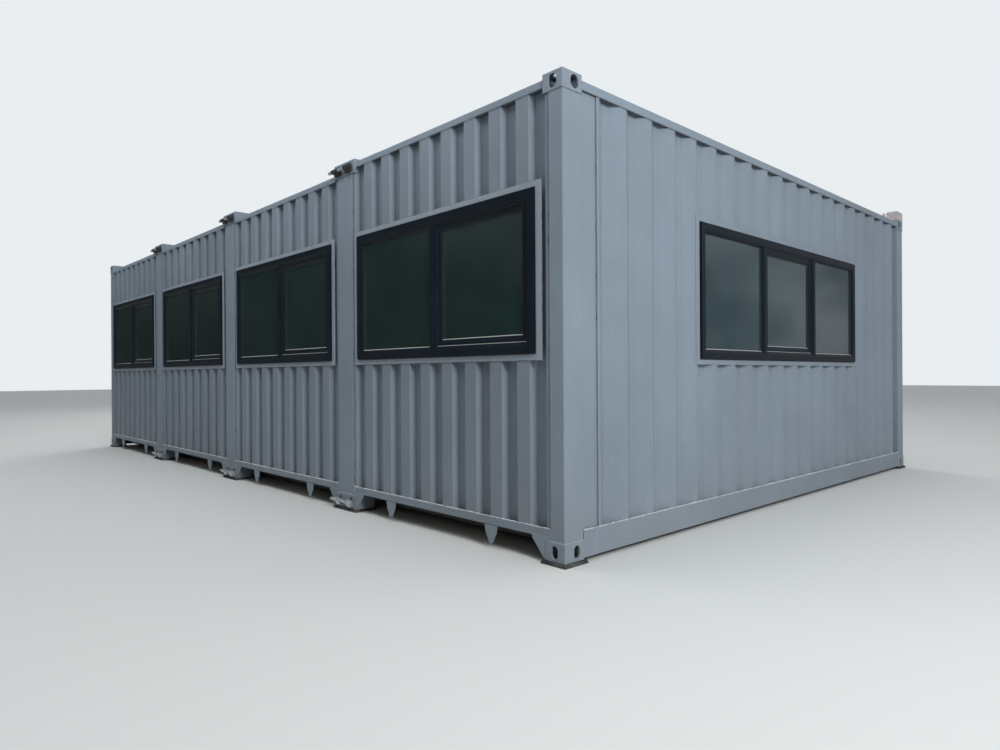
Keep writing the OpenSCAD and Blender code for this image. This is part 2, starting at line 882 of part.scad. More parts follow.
module wall_linings() {
    top = module_h - ceiling_drop;
    room_x = half_x - side_build;
    corner = end_build + board_t + 2;
    color("#e9e8e2") {
        for (e = [0, 1])
            rotate([0, 0, 180 * e])
                translate([0, -half_y, foot])
                    difference() {
                        translate([-room_x, end_build, sill_high])
                            cube([2 * room_x, board_t, top - sill_high]);
                        for (i = [1 : modules])
                            translate([mid_x(i) + end_win_x, end_build, end_win_low]) reveal_hole(end_win_w);
                    }
        at_both_sides()
            difference() {
                translate([corner, side_build, sill_high])
                    cube([module_l - 2 * corner, board_t, top - sill_high]);
                translate([side_win_at, side_build, side_win_low]) reveal_hole(side_win_w);
            }
    }
}

module ceiling_boards() {
    room_x = half_x - side_build;
    color("#efeeea")
        translate([-room_x, -half_y + end_build, foot + module_h - ceiling_drop])
            cube([2 * room_x, module_l - 2 * end_build, board_t]);
}

// Flat strip that closes the joint between the posts of neighbours
module wall_seam_strips() {
    w = 2 * (module_gap / 2 + face_set + bend_r + 6);
    t = 2;
    color("#aab4bc")
        for (i = [1 : modules - 1], e = [0, 1])
            translate([mid_x(i) - pitch / 2, 0, foot])
                mirror([0, e, 0])
                    translate([-w / 2, -half_y + face_set - t, casting_h])
                        cube([w, t, module_h - 2 * casting_h]);
}

// Strips over the joints between the top rails of neighbours
module roof_seam_strips() {
    w = 70;
    t = 3;
    length = module_l - 2 * casting_l;
    color("#8d9aa5")
        for (i = [1 : modules - 1]) {
            step = roof_low[i] - roof_low[i - 1];
            gap = module_gap + 2 * face_set;
            translate([mid_x(i) - pitch / 2, -length / 2, foot + frame_top(i + 1) + sheet_t])
                if (step == 0)
                    translate([-w / 2, 0, 0]) cube([w, length, t]);
                else {
                    translate([gap / 2 - w / 2, 0, 0]) cube([w / 2 - t, length, t]);
                    translate([gap / 2 - t, 0, 0]) cube([t, length, step]);
                }
        }
}

// A screw clamp that hooks into the end openings of two neighbouring castings, drawn from their middle
module bridge_clamp(w, h) {
    claw_w = w - 14;
    claw_x = end_hole_at + module_gap / 2;
    block_w = claw_w + 18;
    boss_r = screw_d * 0.8;
    nut_r = screw_d * 0.85;
    nut_l = 20;
    low = -h / 2 + 2;
    for (s = [-1, 1])
        translate([s * claw_x, 0, 0]) {
            slab(-claw_w / 2, claw_w / 2, low, boss_r / 2, -eps, casting_t + 1);
            slab(-claw_w / 2, claw_w / 2, low, h / 2 - 2, casting_t, casting_t + 12);
            slab(-block_w / 2, block_w / 2, low, boss_r / 2, -screw_out, 0);
            translate([-block_w / 2, -screw_out, 0])
                rotate([0, 90, 0]) cylinder(r = boss_r, h = block_w, $fn = 32);
        }
    translate([-clamp_long, -screw_out, 0])
        rotate([0, 90, 0]) cylinder(d = screw_d, h = clamp_long + clamp_short, $fn = 32);
    for (x = [-claw_x - block_w / 2 - nut_l / 2, claw_x + block_w / 2 + nut_l / 2])
        translate([x, -screw_out, 0])
            rotate([0, 90, 0]) cylinder(r = nut_r, h = nut_l + 2 * eps, center = true, $fn = 6);
}

// Places its children at every seam on both ends, outer faces to the front
module at_seams() {
    for (i = [1 : modules - 1], e = [0, 1])
        rotate([0, 0, 180 * e]) translate([mid_x(i) - pitch / 2, -half_y, foot]) children();
}

module bottom_bridge_clamps() {
    color("#c9c6b4") at_seams() translate([0, 0, casting_h / 2]) bridge_clamp(slot_w, slot_h);
}

module top_bridge_clamps() {
    color("#3c4044") at_seams() translate([0, 0, module_h - casting_h / 2]) bridge_clamp(hole_w, hole_h);
}

// Block as long as a casting on the rear upper casting on the right, and two lugs on the roof's edge
module roof_edge_fittings() {
    block_w = 120;
    lug_t = 12;
    lug_y = 30;
    color("#8b98a3")
        at_right() {
            translate([module_l - casting_l, 0, module_h])
                rotate([90, 0, 90]) linear_extrude(casting_l) soft_rect(block_w, block_h, bend_r);
            for (k = [0, 1])
                translate([module_l - lugs_back + k * lug_gap, lug_y, frame_top(1) + sheet_t])
                    rotate([90, 0, 0])
                        linear_extrude(lug_t)
                            intersection() {
                                translate([-lug_r, 0]) square([2 * lug_r, lug_r]);
                                circle(r = lug_r, $fn = 48);
                            }
        }
}

bearing_pads();
bottom_corner_castings();
top_corner_castings();
corner_posts();
bottom_side_rails();
top_side_rails();
bottom_end_rails();
top_end_rails();
cross_members();
bottom_corner_gussets();
tie_down_plates();
header_corner_plates();
front_wall(1);  // front_wall_1
front_wall(2);  // front_wall_2
front_wall(3);  // front_wall_3
front_wall(4);  // front_wall_4
rear_wall(1);  // rear_wall_1
rear_wall(2);  // rear_wall_2
rear_wall(3);  // rear_wall_3
rear_wall(4);  // rear_wall_4
right_wall();
left_wall();
roof_panel(1);  // roof_panel_1
roof_panel(2);  // roof_panel_2
roof_panel(3);  // roof_panel_3
roof_panel(4);  // roof_panel_4
floor_panels();
end_window_surrounds();
side_window_surrounds();
end_window_frames();
side_window_frames();
end_window_sashes();
side_window_sashes();
end_window_glass();
side_window_glass();
window_handles();
window_reveals();
wall_linings();
ceiling_boards();
wall_seam_strips();
roof_seam_strips();
window_seals();
bottom_bridge_clamps();
top_bridge_clamps();
roof_edge_fittings();
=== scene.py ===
import math

import bmesh
import bpy
from mathutils import Matrix, Vector


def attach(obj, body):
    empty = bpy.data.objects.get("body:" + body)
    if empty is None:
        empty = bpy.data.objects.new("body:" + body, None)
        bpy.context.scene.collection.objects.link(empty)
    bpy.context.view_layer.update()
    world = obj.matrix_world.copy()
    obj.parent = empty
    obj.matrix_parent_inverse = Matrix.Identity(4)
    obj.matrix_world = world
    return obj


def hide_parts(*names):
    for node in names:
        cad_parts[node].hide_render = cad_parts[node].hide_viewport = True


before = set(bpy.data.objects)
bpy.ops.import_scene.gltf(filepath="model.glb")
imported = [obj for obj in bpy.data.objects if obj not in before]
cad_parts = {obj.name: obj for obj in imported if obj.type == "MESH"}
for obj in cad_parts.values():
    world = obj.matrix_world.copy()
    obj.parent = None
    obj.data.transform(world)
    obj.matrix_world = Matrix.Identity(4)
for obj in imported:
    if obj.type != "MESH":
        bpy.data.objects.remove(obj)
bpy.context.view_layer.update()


# ---------------------------------------------------------------------------
# Viewpoint: eye height, close to the near corner of container 1, looking
# between the four windowed ends and the long side with the wide window.
eye = Vector((7.5055, -6.0034, 1.1283))
turn, nod, lean = math.radians(46.8006), math.radians(-0.0463), math.radians(-0.3242)
ahead_level = Vector((-math.sin(turn), math.cos(turn), 0))
to_right = Vector((math.cos(turn), math.sin(turn), 0))
ahead = math.cos(nod) * ahead_level + Vector((0, 0, math.sin(nod)))
overhead = Vector((0, 0, math.cos(nod))) - math.sin(nod) * ahead_level
right_axis = math.cos(lean) * to_right + math.sin(lean) * overhead
up_axis = math.cos(lean) * overhead - math.sin(lean) * to_right
lens = bpy.data.cameras.new("viewpoint")
lens.lens = 24.557
lens.sensor_width = 36
lens.sensor_fit = "HORIZONTAL"
lens.clip_end = 200
viewpoint = bpy.data.objects.new("viewpoint", lens)
bpy.context.collection.objects.link(viewpoint)
axes = Matrix((right_axis, up_axis, -ahead)).transposed().to_4x4()
axes.translation = eye
viewpoint.matrix_world = axes
bpy.context.scene.camera = viewpoint


# ---------------------------------------------------------------------------
# Studio: a pale backdrop, and a soft mottled sky that is brightest overhead and
# darkest before the windowed ends; two brighter patches in it show in the panes.
sky = bpy.data.worlds.new("pale_sky")
bpy.context.scene.world = sky
bpy.context.scene.view_settings.view_transform = "Standard"
sky.use_nodes = True
sky_tree = sky.node_tree
sky_background = sky_tree.nodes["Background"]
direction = sky_tree.nodes.new("ShaderNodeTexCoord").outputs["Generated"]


def sky_share(axis, low, high, at_low, at_high):
    """A share of brightness that goes from at_low to at_high as the direction nears the axis."""
    towards, share = (sky_tree.nodes.new(kind) for kind in ("ShaderNodeVectorMath", "ShaderNodeMapRange"))
    towards.operation = "DOT_PRODUCT"
    towards.inputs[1].default_value = axis
    share.interpolation_type = "SMOOTHSTEP"
    for key, value in (("From Min", low), ("From Max", high), ("To Min", at_low), ("To Max", at_high)):
        share.inputs[key].default_value = value
    sky_tree.links.new(direction, towards.inputs[0])
    sky_tree.links.new(towards.outputs["Value"], share.inputs["Value"])
    return share.outputs[0]


def sky_product(a, b):
    product = sky_tree.nodes.new("ShaderNodeMath")
    product.operation = "MULTIPLY"
    sky_tree.links.new(a, product.inputs[0])
    sky_tree.links.new(b, product.inputs[1])
    return product.outputs[0]


shaped = sky_share((-0.60, -0.80, 0), 0.10, 0.75, 1.0, 0.20)
for share in (((0, 0, 1), 0.10, 0.9, 0.62, 1.90),                  # brighter overhead
              ((0.91, -0.41, 0), -0.60, 0.90, 0.42, 0.36),         # before the long side
              ((0, 0, 1), -0.02, 0.24, 0.70, 1.15),                # dimmer along the horizon
              ((0.42, 0.90, 0.10), 0.925, 0.995, 1.0, 2.3),        # a patch for the side's panes
              ((-0.66, -0.68, 0.32), 0.972, 0.999, 1.0, 4.0)):     # a patch for the ends' panes
    shaped = sky_product(shaped, sky_share(*share))
patchy, mottle = sky_tree.nodes.new("ShaderNodeTexNoise"), sky_tree.nodes.new("ShaderNodeMapRange")
patchy.inputs["Scale"].default_value, patchy.inputs["Detail"].default_value = 6.0, 3.0
for key, value in (("From Min", 0.38), ("From Max", 0.62), ("To Min", 0.55), ("To Max", 1.60)):
    mottle.inputs[key].default_value = value
sky_tree.links.new(direction, patchy.inputs["Vector"])
sky_tree.links.new(patchy.outputs[0], mottle.inputs["Value"])
shaped = sky_product(shaped, mottle.outputs[0])
backdrop = sky_tree.nodes.new("ShaderNodeMix")
sky_tree.links.new(sky_tree.nodes.new("ShaderNodeLightPath").outputs["Is Camera Ray"], backdrop.inputs[0])
sky_tree.links.new(shaped, backdrop.inputs[2])
backdrop.inputs[3].default_value = 0.88
sky_tree.links.new(backdrop.outputs[0], sky_background.inputs["Strength"])
sky_background.inputs["Color"].default_value = (0.93, 0.97, 1.0, 1)


def soft_light(name, place, target, size, power, tint):
    lamp = bpy.data.lights.new(name, "AREA")
    lamp.shape = "RECTANGLE"
    lamp.size, lamp.size_y = size
    lamp.energy = power
    lamp.color = tint
    holder = bpy.data.objects.new(name, lamp)
    holder.location = place
    holder.rotation_euler = (Vector(target) - Vector(place)).to_track_quat("-Z", "Y").to_euler()
    holder.visible_camera = holder.visible_glossy = holder.visible_transmission = False
    bpy.context.collection.objects.link(holder)


# name, place, target, size, power in watts, tint
soft_light("side_light", (12.2, -5.1, 5.2), (4.88, 0.6, 1.0), (2.4, 2.8), 660, (0.98, 0.99, 1.0))
soft_light("ends_light", (-0.4, -4.4, 4.4), (-0.4, -3.03, 2.6), (10.9, 1.1), 100, (0.93, 0.98, 1.0))
soft_light("fill_light", (-13, 9, 8), (-2, 1, 1.2), (7, 7), 900, (1.0, 0.995, 0.98))
soft_light("top_light", (0, 0, 14), (0, 0, 0), (16, 14), 560, (1.0, 1.0, 1.0))


# ---------------------------------------------------------------------------
# Ground: a plain pale floor under the pads, which isn't part of the cabin and
# only gives the studio something to stand it on.
class Finish:
    """A node material, built up in Object coordinates from noises, ramps and mixes."""

    def __init__(self, name):
        self.material = bpy.data.materials.new(name)
        self.material.use_nodes = True
        self.tree = self.material.node_tree
        self.tree.nodes.clear()
        self.place = self.add("ShaderNodeTexCoord").outputs["Object"]

    def add(self, kind, **settings):
        node = self.tree.nodes.new(kind)
        for key, value in settings.items():
            socket = node.inputs.get(key.replace("_", " "))
            if socket is None:
                setattr(node, key, value)
            elif isinstance(value, bpy.types.NodeSocket):
                self.tree.links.new(value, socket)
            else:
                socket.default_value = value
        return node

    def stretch(self, scale):
        return self.add("ShaderNodeMapping", Vector=self.place, Scale=scale).outputs[0]

    def noise(self, where, scale, detail=3.0, rough=0.55, warp=0.0):
        return self.add("ShaderNodeTexNoise", Vector=where, Scale=scale, Detail=detail,
                        Roughness=rough, Distortion=warp).outputs["Fac"]

    def ramp(self, value, low, high, a=0.0, b=1.0):
        return self.add("ShaderNodeMapRange", Value=value, From_Min=low, From_Max=high,
                        To_Min=a, To_Max=b).outputs[0]

    def math(self, what, a, b=0.0, limit=False):
        node = self.tree.nodes.new("ShaderNodeMath")
        node.operation = what
        node.use_clamp = limit
        for socket, value in zip(node.inputs, (a, b)):
            if isinstance(value, bpy.types.NodeSocket):
                self.tree.links.new(value, socket)
            else:
                socket.default_value = value
        return node.outputs[0]

    def mix(self, share, a, b):
        node = self.tree.nodes.new("ShaderNodeMix")
        node.data_type = "RGBA"
        for socket, value in ((node.inputs[0], share), (node.inputs[6], a), (node.inputs[7], b)):
            if isinstance(value, bpy.types.NodeSocket):
                self.tree.links.new(value, socket)
            elif socket.type == "RGBA":
                socket.default_value = (*value, 1)
            else:
                socket.default_value = value
        return node.outputs[2]

    def axis(self, letter):
        return self.add("ShaderNodeSeparateXYZ", Vector=self.place).outputs[letter]

    def facing(self, letter):
        normal = self.add("ShaderNodeNewGeometry").outputs["Normal"]
        return self.add("ShaderNodeSeparateXYZ", Vector=normal).outputs[letter]

    def close(self, colour, rough, height=None, depth=0.001, metallic=0.0, **fixed):
        shader = self.add("ShaderNodeBsdfPrincipled", Roughness=rough, Metallic=metallic)
        if isinstance(colour, bpy.types.NodeSocket):
            self.tree.links.new(colour, shader.inputs["Base Color"])
        else:
            shader.inputs["Base Color"].default_value = (*colour, 1)
        for key, value in fixed.items():
            shader.inputs[key.replace("_", " ")].default_value = value
        if height is not None:
            bump = self.add("ShaderNodeBump", Height=height, Strength=1.0, Distance=depth)
            self.tree.links.new(bump.outputs[0], shader.inputs["Normal"])
        out = self.add("ShaderNodeOutputMaterial")
        self.tree.links.new(shader.outputs[0], out.inputs["Surface"])
        return self.material


ground_mesh = bpy.data.meshes.new("ground")
ground_mesh.from_pydata([(-60, -60, 0), (60, -60, 0), (60, 60, 0), (-60, 60, 0)], [], [(0, 1, 2, 3)])
ground = bpy.data.objects.new("ground", ground_mesh)
bpy.context.collection.objects.link(ground)
pale = Finish("pale_floor")
ground_mesh.materials.append(pale.close((0.55, 0.56, 0.55), 0.85))


# ---------------------------------------------------------------------------
# Bearing pads: two layers of black rubber granulate sheet, cut by hand and
# laid loose under the castings, dusty and frayed along the edges.
def dress(material, *names):
    for name in names:
        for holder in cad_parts[name].material_slots:
            holder.material = material


pad = Finish("rubber_granulate")
grain = pad.noise(pad.place, 320, 2)
dust = pad.ramp(pad.noise(pad.place, 9, 4), 0.42, 0.68)
pad_colour = pad.mix(pad.ramp(grain, 0.4, 0.65), (0.018, 0.019, 0.02), (0.05, 0.05, 0.052))
pad_colour = pad.mix(pad.math("MULTIPLY", dust, 0.45), pad_colour, (0.24, 0.235, 0.22))
dress(pad.close(pad_colour, 0.9, grain, 0.002), "bearing_pads")


# ---------------------------------------------------------------------------
# Steel frame: cast corner blocks, cold-formed posts and rails, sprayed with
# the same light bluish grey as the walls, rubbed and rusty where fittings go.
def container_paint(name, colour, runs, rust, foot, wave=0.0015):
    """Sprayed paint with dirt runs, splashes at the foot, rust, dust, painted shade on undersides and, with
    grime, in corners, and unevenness wave metres deep.
    """
    paint = Finish(name)
    shade = lambda k: tuple(min(1, c * k) for c in colour)
    broad = paint.noise(paint.place, 0.8, 4, 0.6)
    fine = paint.noise(paint.place, 24, 5, 0.6)
    tone = paint.mix(paint.ramp(broad, 0.35, 0.68), shade(0.90), shade(1.08))
    tone = paint.mix(paint.ramp(fine, 0.45, 0.75, 0, 0.25), tone, shade(1.18))
    # rain carries dirt down the flanks in narrow runs that fade out
    drips = paint.noise(paint.stretch((17, 17, 0.55)), 1.0, 6, 0.62, 0.3)
    drips = paint.ramp(drips, 0.52, 0.78)
    patch = paint.ramp(paint.noise(paint.stretch((1.4, 1.4, 0.5)), 1.0, 3), 0.4, 0.7)
    drips = paint.math("MULTIPLY", paint.math("MULTIPLY", drips, patch), runs, True)
    tone = paint.mix(drips, tone, (0.19, 0.185, 0.17))
    # splashed soil over the lowest half metre
    low = paint.ramp(paint.axis("Z"), 0.02, 0.75, 1, 0)
    splash = paint.ramp(paint.noise(paint.place, 5, 5), 0.3, 0.7)
    low = paint.math("MULTIPLY", paint.math("POWER", low, 2.2), splash)
    tone = paint.mix(paint.math("MULTIPLY", low, foot, True), tone, (0.20, 0.185, 0.16))
    # dust that lies on whatever faces the sky
    lying = paint.ramp(paint.facing("Z"), 0.75, 1.0)
    drifts = paint.ramp(paint.noise(paint.place, 6, 5), 0.3, 0.7, 0.1, 0.6)
    dusty = paint.math("MULTIPLY", lying, drifts, True)
    tone = paint.mix(dusty, tone, (0.42, 0.41, 0.37))
    # painted shade: faces that look downwards are darkened, standing in for the shadow under rails and
    # surrounds
    under = paint.ramp(paint.facing("Z"), -0.55, -0.95, 0, 0.8)
    tone = paint.mix(under, tone, (0.030, 0.032, 0.034))
    # corners and creases found by local occlusion are darkened: partly grime where water stays, partly
    # painted shade; below them, rust
    nook = paint.add("ShaderNodeAmbientOcclusion", samples=6, only_local=True, Distance=0.022).outputs["AO"]
    nook = paint.ramp(nook, 0.25, 0.9, 1, 0)
    smudge = paint.ramp(paint.noise(paint.place, 30, 4), 0.3, 0.7, 0.15, 0.6)
    grime_and_shade = paint.math("MULTIPLY", nook, smudge, True)
    tone = paint.mix(grime_and_shade, tone, (0.075, 0.075, 0.07))
    specks = paint.ramp(paint.noise(paint.place, 46, 6, 0.7, 0.5), 0.66, 0.72)
    zone = paint.ramp(paint.noise(paint.place, 2.3, 3), 0.52, 0.66)
    rusty = paint.math("MULTIPLY", paint.math("MULTIPLY", specks, zone), rust, True)
    tone = paint.mix(rusty, tone, (0.17, 0.075, 0.038))
    gloss = paint.ramp(fine, 0.3, 0.7, 0.46, 0.62)
    gloss = paint.math("ADD", gloss, paint.math("MULTIPLY", paint.math("ADD", dusty, rusty), 0.3), True)
    relief = paint.math("ADD", paint.noise(paint.place, 2.6, 2),
                        paint.math("MULTIPLY", paint.noise(paint.place, 210, 2), 0.03))
    relief = paint.math("SUBTRACT", relief, paint.math("MULTIPLY", rusty, 0.25))
    return paint.close(tone, gloss, relief, wave, IOR=1.45)


frame_paint = container_paint("frame_paint", (0.198, 0.240, 0.286), runs=0.35, rust=0.9, foot=0.4,
                              wave=0.0008)
dress(frame_paint, "bottom_corner_castings", "top_corner_castings", "corner_posts", "bottom_side_rails",
      "top_side_rails", "bottom_end_rails", "top_end_rails", "bottom_corner_gussets", "tie_down_plates",
      "header_corner_plates")
under_paint = container_paint("under_paint", (0.09, 0.10, 0.11), runs=0.2, rust=1.0, foot=0.6)
dress(under_paint, "cross_members")

half_x, half_y, foot_z, pitch = 4.879, 3.029, 0.018, 2.440
container_half = 1.219
roof_z = (2.868, 2.815, 2.815, 2.815)


def container_middle(i):
    return half_x - container_half - i * pitch


def on_end(i, rear, x, y, z):
    """A point on the end of container i: x along the face, y inwards, z above the castings' feet."""
    s = -1 if rear else 1
    return Vector((container_middle(i) + s * x, s * (y - half_y), foot_z + z))


def on_side(left, along, y, z):
    """A point on a long side: along it from the front corner, y inwards, z above the castings' feet."""
    s = -1 if left else 1
    return Vector((s * (half_x - y), along - half_y, foot_z + z))


def on_corner(i, sx, sy, x, y, z):
    """A point at a corner of container i: x and y inwards from its outer faces."""
    return Vector((container_middle(i) + sx * (container_half - x), sy * (half_y - y), foot_z + z))


def settle(name, mesh, material, slot, *stands_for):
    """A finished mesh becomes a piece that rides on the cabin."""
    piece = bpy.data.objects.new(name, mesh)
    bpy.context.collection.objects.link(piece)
    mesh.materials.clear()
    mesh.materials.append(material)
    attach(piece, "root")
    if stands_for:
        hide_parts(*stands_for)


# Weld beads: short overlapping ripples laid by hand where castings, posts,
# rails and plates meet, sprayed over with the frame's paint; the frame's own welds take a lighter copy of it,
# a painted highlight for bead tops that catch the sky.
def bead_tree():
    tree = bpy.data.node_groups.new("weld_bead", "GeometryNodeTree")
    face = tree.interface
    face.new_socket("Seams", in_out="INPUT", socket_type="NodeSocketGeometry")
    face.new_socket("Ripple spacing", in_out="INPUT", socket_type="NodeSocketFloat")
    face.new_socket("Bead radius", in_out="INPUT", socket_type="NodeSocketFloat")
    face.new_socket("Unevenness", in_out="INPUT", socket_type="NodeSocketFloat")
    face.new_socket("Finish", in_out="INPUT", socket_type="NodeSocketMaterial")
    face.new_socket("Beads", in_out="OUTPUT", socket_type="NodeSocketGeometry")
    new, link = tree.nodes.new, tree.links.new
    given, out = new("NodeGroupInput"), new("NodeGroupOutput")
    line, spaced = new("GeometryNodeMeshToCurve"), new("GeometryNodeResampleCurve")
    spaced.mode = "LENGTH"
    link(given.outputs["Seams"], line.inputs[0])
    link(line.outputs[0], spaced.inputs["Curve"])
    link(given.outputs["Ripple spacing"], spaced.inputs["Length"])
    ripple = new("GeometryNodeMeshIcoSphere")
    ripple.inputs["Subdivisions"].default_value = 1
    link(given.outputs["Bead radius"], ripple.inputs["Radius"])
    tangent, aim = new("GeometryNodeInputTangent"), new("FunctionNodeAlignRotationToVector")
    link(tangent.outputs[0], aim.inputs["Vector"])
    wobble = new("FunctionNodeRandomValue")
    wobble.data_type = "FLOAT_VECTOR"
    wobble.inputs["Seed"].default_value = 4
    low, high = new("ShaderNodeMath"), new("ShaderNodeMath")
    low.operation, high.operation = "SUBTRACT", "ADD"
    for node in (low, high):
        node.inputs[0].default_value = 1.0
        link(given.outputs["Unevenness"], node.inputs[1])
    link(low.outputs[0], wobble.inputs[0])
    link(high.outputs[0], wobble.inputs[1])
    laid = new("GeometryNodeInstanceOnPoints")
    link(spaced.outputs[0], laid.inputs["Points"])
    link(ripple.outputs["Mesh"], laid.inputs["Instance"])
    link(aim.outputs[0], laid.inputs["Rotation"])
    link(wobble.outputs[0], laid.inputs["Scale"])
    real, finish = new("GeometryNodeRealizeInstances"), new("GeometryNodeSetMaterial")
    link(laid.outputs[0], real.inputs[0])
    link(real.outputs[0], finish.inputs["Geometry"])
    link(given.outputs["Finish"], finish.inputs["Material"])
    link(finish.outputs[0], out.inputs[0])
    return tree


weld_bead = bead_tree()


def seams_mesh(name, paths):
    points, edges = [], []
    for path in paths:
        start = len(points)
        points += [tuple(p) for p in path]
        edges += [(start + k, start + k + 1) for k in range(len(path) - 1)]
    mesh = bpy.data.meshes.new(name)
    mesh.from_pydata(points, edges, [])
    return mesh


def run_tree(name, mesh, tree, values):
    """Runs a geometry tree on a mesh and keeps the result as a plain mesh."""
    holder = bpy.data.objects.new(name, mesh)
    bpy.context.collection.objects.link(holder)
    modifier = holder.modifiers.new(tree.name, "NODES")
    modifier.node_group = tree
    for socket in tree.interface.items_tree:
        if socket.in_out == "INPUT" and socket.name in values:
            modifier[socket.identifier] = values[socket.name]
    graph = bpy.context.evaluated_depsgraph_get()
    result = bpy.data.meshes.new_from_object(holder.evaluated_get(graph))
    bpy.data.objects.remove(holder)
    result.name = name
    return result


def lay_beads(name, paths, material, slot, spacing=0.009, radius=0.0055, uneven=0.22):
    """Beads along paths: spacing and radius in metres, uneven as a share of the radius."""
    values = {"Ripple spacing": spacing, "Bead radius": radius, "Unevenness": uneven, "Finish": material}
    mesh = run_tree(name, seams_mesh(name + "_line", paths), weld_bead, values)
    for face in mesh.polygons:
        face.use_smooth = True
    settle(name, mesh, material, slot)


frame_seams = []
low_casting_top, casting_end, gusset_end, end_rail_top = 0.1185, 0.163, 0.2945, 0.176
post_round, post_across, post_along = 0.014, 0.118, 0.172
for i in range(4):
    header_foot, header_top = roof_z[i] - 0.048, roof_z[i] - 0.003
    for sx in (-1, 1):
        for sy in (-1, 1):
            at = lambda x, y, z: on_corner(i, sx, sy, x, y, z)
            # post on the lower casting, across the end and along the side
            frame_seams.append([at(x, 0.004, low_casting_top) for x in (post_across, post_round)])
            frame_seams.append([at(0.004, y, low_casting_top) for y in (post_round, post_along)])
            # end rail against post, lower casting and upper casting
            frame_seams.append([at(0.1205, 0.007, z) for z in (0.146, end_rail_top)])
            frame_seams.append([at(casting_end, 0.008, z) for z in (0.022, 0.118)])
            frame_seams.append([at(casting_end, 0.0085, z) for z in (header_foot, header_top)])
            outer = (i == 0 and sx > 0) or (i == 3 and sx < 0)
            if outer:
                # gusset plate on the side rail, and the rail against the casting
                frame_seams.append([at(0.0035, gusset_end, z) for z in (0.02, 0.154)])
                frame_seams.append([at(0.003, 0.1785, z) for z in (0.02, 0.154)])
# the frame's welds take a lighter paint than the frame: a painted highlight for bead tops that catch the sky
highlit_bead_paint = container_paint("highlit_bead_paint", (0.30, 0.335, 0.38), runs=0.1, rust=0.8, foot=0.15, wave=0.0006)
lay_beads("frame_welds", frame_seams, highlit_bead_paint, "frame_paint")

primer = Finish("primed_steel")
primer_share = primer.ramp(primer.noise(primer.place, 14, 4), 0.3, 0.7)
primer_tone = primer.mix(primer_share, (0.40, 0.36, 0.37), (0.50, 0.47, 0.475))
primer_spots = primer.ramp(primer.noise(primer.place, 34, 5, 0.65), 0.62, 0.70, 0, 0.8)
primer_tone = primer.mix(primer_spots, primer_tone, (0.19, 0.085, 0.045))
dress(primer.close(primer_tone, 0.7, primer.noise(primer.place, 120, 3), 0.0008), "roof_edge_fittings")


# ---------------------------------------------------------------------------
# Corrugated walls: 2 mm sheet pressed into troughs and welded all round into
# the frame; the foot seam is run over with light sealant that gathers dust.
# the end walls take a darker copy of the sides' paint: painted shade for ends that face away from the
# brightest sky
end_paint = container_paint("end_paint", (0.182, 0.216, 0.257), runs=0.4, rust=0.35, foot=0.4, wave=0.0012)
side_paint = container_paint("side_paint", (0.198, 0.240, 0.286), runs=0.35, rust=0.45, foot=0.35,
                             wave=0.0015)
dress(end_paint, *[f"{side}_wall_{i}" for side in ("front", "rear") for i in (1, 2, 3, 4)])
dress(side_paint, "right_wall", "left_wall")


def folds(starts, slope, floor, depth, back, low, high):
    """The folded line of a wall as (along, inwards), from low to high, with troughs at the starts."""
    line = [(low, back)]
    for a in starts:
        line += [(a, back), (a + slope, back + depth), (a + slope + floor, back + depth),
                 (a + 2 * slope + floor, back)]
    return line + [(high, back)]


end_starts = [k * 0.250 - 0.070 for k in range(-4, 5)]
end_fold = folds(end_starts, slope=0.018, floor=0.104, depth=0.0456, back=0.011, low=-1.097, high=1.097)
side_starts = [0.348 + k * 0.282 for k in range(19)]
side_fold = folds(side_starts, slope=0.070, floor=0.070, depth=0.036, back=0.011, low=0.327, high=5.706)
# flat strips beside the front and rear posts
side_fold = [(0.177, 0.021), (0.326, 0.021)] + side_fold + [(5.776, 0.047), (5.881, 0.047)]
wall_seams, post_joints, lip_beads = [], [], []
end_edge, lip_end, lip_front, lip_rear, high_casting_foot = 1.0985, 1.095, 0.182, 5.876, 2.7775
for i in range(4):
    for rear in (False, True):
        wall_seams.append([on_end(i, rear, x, y, 0.1785) for x, y in end_fold])
        top = [p for p in end_fold if abs(p[0]) < 1.06] if i == 0 else end_fold
        wall_seams.append([on_end(i, rear, x, y, roof_z[i] - 0.0505) for x, y in top])
        for x in (-end_edge, end_edge):
            post_joints.append([on_end(i, rear, x, 0.0095, z) for z in (0.195, roof_z[i] - 0.06)])
        lip_beads.append([on_end(i, rear, x, 0.0085, 0.1912) for x in (-lip_end, lip_end)])
for left in (False, True):
    wall_seams.append([on_side(left, x, y, 0.1635) for x, y in side_fold])
    top = roof_z[3 if left else 0] - 0.0605
    wall_seams.append([on_side(left, x, y, top) for x, y in side_fold if 0.18 < x < 5.87])
    for x, y in ((0.1765, 0.020), (5.8815, 0.046)):
        wall_seams.append([on_side(left, x, y, z) for z in (0.18, min(top, 2.775))])
    lip_beads.append([on_side(left, x, 0.006, 0.1766) for x in (lip_front, lip_rear)])
    lip_beads.append([on_side(left, lip_front, 0.0055, 0.1775), on_side(left, 0.215, 0.0055, 0.1790)])
    for low, high in ((0.78, 0.84), (1.42, 1.47), (1.60, 1.72), (1.98, 2.03), (2.36, 2.40)):
        post_joints.append([on_side(left, 0.3262, 0.0195, low), on_side(left, 0.3258, 0.0195, high)])
for i in range(4):
    for sx in (-1, 1):
        for sy in (-1, 1):
            at = lambda x, y: on_corner(i, sx, sy, x, y, high_casting_foot)
            post_joints.append([at(x, 0.0048) for x in (post_across, post_round)])
            post_joints.append([at(0.0048, y) for y in (post_round, post_along)])
lay_beads("wall_seams", wall_seams, frame_paint, "frame_paint", 0.011, 0.0042)

